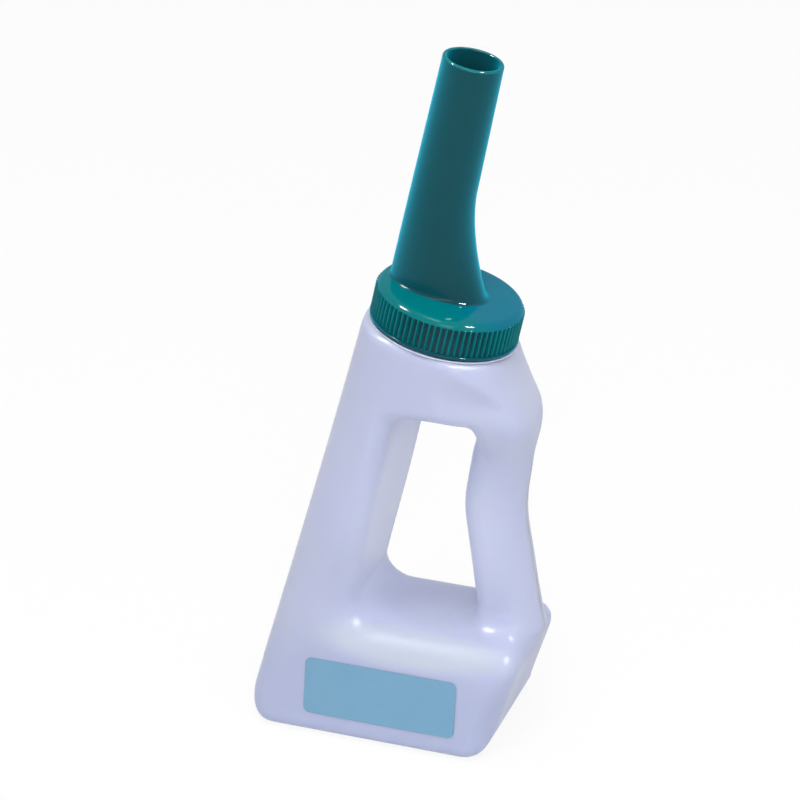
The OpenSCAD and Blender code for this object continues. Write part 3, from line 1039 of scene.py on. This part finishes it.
def make_ribs():
    """All the ribs as one mesh, set on the leaning cap."""
    stock = rib_stock(width=0.95, reach=2.05, low=1.45, high=CAP_H - 2.9)
    tree, socket = rib_ring_tree()
    holder = add_object("rib_holder", bpy.data.meshes.new("rib_holder"))
    layout = holder.modifiers.new("rib_ring", "NODES")
    layout.node_group = tree
    layout[socket["count"].identifier] = RIB_COUNT
    layout[socket["radius"].identifier] = GROOVE_R * MM
    layout[socket["rib"].identifier] = stock
    # the ribs take the lighter teal of painted light
    layout[socket["finish"].identifier] = rib_painted_light
    graph = bpy.context.evaluated_depsgraph_get()
    mesh = bpy.data.meshes.new_from_object(holder.evaluated_get(graph))
    mesh.transform(NECK_MATRIX)
    holder.modifiers.remove(layout)
    bpy.data.objects.remove(holder)
    bpy.data.objects.remove(stock)
    return add_object("cap_ribs", mesh)


# camera and studio
def make_camera():
    """A camera at the photograph's angle, from its three directions and its place."""
    right = (0.94501174, 0.32680413, 0.01232337)
    down = (0.14515635, -0.38538238, -0.91126838)
    ahead = (-0.29305706, 0.86294813, -0.41162857)
    place = (0.4275, -1.2433, 0.7594)
    data = bpy.data.cameras.new("camera")
    data.sensor_width = 36.0
    data.lens = 135.0
    data.clip_end = 20.0
    camera = add_object("camera", data)
    camera.matrix_world = Matrix((
        (right[0], -down[0], -ahead[0], place[0]),
        (right[1], -down[1], -ahead[1], place[1]),
        (right[2], -down[2], -ahead[2], place[2]),
        (0, 0, 0, 1),
    ))
    bpy.context.scene.camera = camera


def camera_white(tree, shown, hidden):
    """Mixes two shaders by what looks: camera, gloss and clear rays see the first."""
    nodes, links = tree.nodes, tree.links
    path = nodes.new("ShaderNodeLightPath")
    first = nodes.new("ShaderNodeMath")
    first.operation = "MAXIMUM"
    links.new(path.outputs["Is Camera Ray"], first.inputs[0])
    links.new(path.outputs["Is Glossy Ray"], first.inputs[1])
    both = nodes.new("ShaderNodeMath")
    both.operation = "MAXIMUM"
    links.new(first.outputs["Value"], both.inputs[0])
    links.new(path.outputs["Is Transmission Ray"], both.inputs[1])
    mix = nodes.new("ShaderNodeMixShader")
    links.new(both.outputs["Value"], mix.inputs["Fac"])
    links.new(hidden, mix.inputs[1])
    links.new(shown, mix.inputs[2])
    return mix.outputs["Shader"]


WORLD_BELOW = 0.46
WORLD_ABOVE = 0.79


def make_world():
    """White surroundings, whose light is stronger from above than from below."""
    world = bpy.data.worlds.new("studio")
    bpy.context.scene.world = world
    world.use_nodes = True
    tree = world.node_tree
    lit = tree.nodes["Background"]
    lit.inputs["Color"].default_value = (1, 1, 1, 1)
    over = tree.nodes.new("ShaderNodeTexCoord")
    split = tree.nodes.new("ShaderNodeSeparateXYZ")
    rise = tree.nodes.new("ShaderNodeMapRange")
    rise.inputs["From Min"].default_value = -1.0
    rise.inputs["To Min"].default_value = WORLD_BELOW
    rise.inputs["To Max"].default_value = WORLD_ABOVE
    tree.links.new(over.outputs["Generated"], split.inputs["Vector"])
    tree.links.new(split.outputs["Z"], rise.inputs["Value"])
    tree.links.new(rise.outputs["Result"], lit.inputs["Strength"])
    white = tree.nodes.new("ShaderNodeBackground")
    white.inputs["Color"].default_value = (1, 1, 1, 1)
    white.inputs["Strength"].default_value = 1.0
    out = camera_white(tree, white.outputs["Background"], lit.outputs["Background"])
    tree.links.new(out, tree.nodes["World Output"].inputs["Surface"])


FLOOR_GLOW = 0.88


def make_floor():
    """White paper that shows a faint shadow, and throws back less light than it shows."""
    material = bpy.data.materials.new("pale_floor")
    material.use_nodes = True
    tree = material.node_tree
    lit = tree.nodes["Principled BSDF"]
    lit.inputs["Base Color"].default_value = (0.6, 0.6, 0.6, 1)
    lit.inputs["Roughness"].default_value = 0.9
    paper = tree.nodes.new("ShaderNodeBsdfDiffuse")
    paper.inputs["Color"].default_value = (0.92, 0.92, 0.92, 1)
    glow = tree.nodes.new("ShaderNodeEmission")
    glow.inputs["Strength"].default_value = 1.0
    part = tree.nodes.new("ShaderNodeMixShader")
    part.inputs["Fac"].default_value = FLOOR_GLOW
    tree.links.new(paper.outputs["BSDF"], part.inputs[1])
    tree.links.new(glow.outputs["Emission"], part.inputs[2])
    out = camera_white(tree, part.outputs["Shader"], lit.outputs["BSDF"])
    tree.links.new(out, tree.nodes["Material Output"].inputs["Surface"])
    mesh = bpy.data.meshes.new("floor")
    half = 8.0
    corners = [(-half, -half, 0), (half, -half, 0), (half, half, 0), (-half, half, 0)]
    mesh.from_pydata(corners, [], [(0, 1, 2, 3)])
    mesh.materials.append(material)
    floor = add_object("floor", mesh)


def softbox(name, place, target, size, power, gloss_only=False):
    """A rectangular lamp aimed at a point; a gloss-only one gives highlights alone."""
    data = bpy.data.lights.new(name, "AREA")
    data.shape = "RECTANGLE"
    data.size, data.size_y = size
    data.energy = power
    lamp = add_object(name, data)
    lamp.location = place
    lamp.rotation_euler = (Vector(place) - Vector(target)).to_track_quat("Z", "Y").to_euler()
    lamp.visible_diffuse = not gloss_only


def finish_node(node, material):
    """A carried-over solid keeps its shape and takes a better finish."""
    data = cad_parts[node].data
    data.materials.clear()
    data.materials.append(material)


make_camera()
make_world()
make_floor()
softbox("softbox_front", (0.5, -1.2, 0.75), (0, 0, 0.15), (0.5, 0.5), 5.4)
softbox("softbox_right", (0.95, -0.75, 0.6), (0, 0, 0.15), (0.4, 0.5), 0.5)
softbox("softbox_top", (0.1, -0.45, 1.65), (0, 0, 0.1), (0.4, 0.4), 7.0)
softbox("strip_left", (-0.72, -0.42, 1.19), (0.03, 0, 0.2), (0.3, 0.09), 72.0, gloss_only=True)
softbox("strip_right", (0.87, -0.25, 1.19), (0.03, 0, 0.2), (0.3, 0.09), 50.0, gloss_only=True)

bottle = make_bottle()
neck = make_neck()
seam_left = make_parting_line("parting_line_left", side=-1, top=206)
seam_right = make_parting_line("parting_line_right", side=1, top=165)
cap = make_cap()
ribs = make_ribs()

for piece in (bottle, neck, seam_left, seam_right):
    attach(piece, "bottle_body")
for piece in (cap, ribs):
    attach(piece, "cap_body")
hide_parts("bottle")
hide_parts("spout_cap")
finish_node("label", label_film)
finish_node("sealing_ring", pale_rubber)

bpy.context.scene.view_settings.view_transform = "Standard"
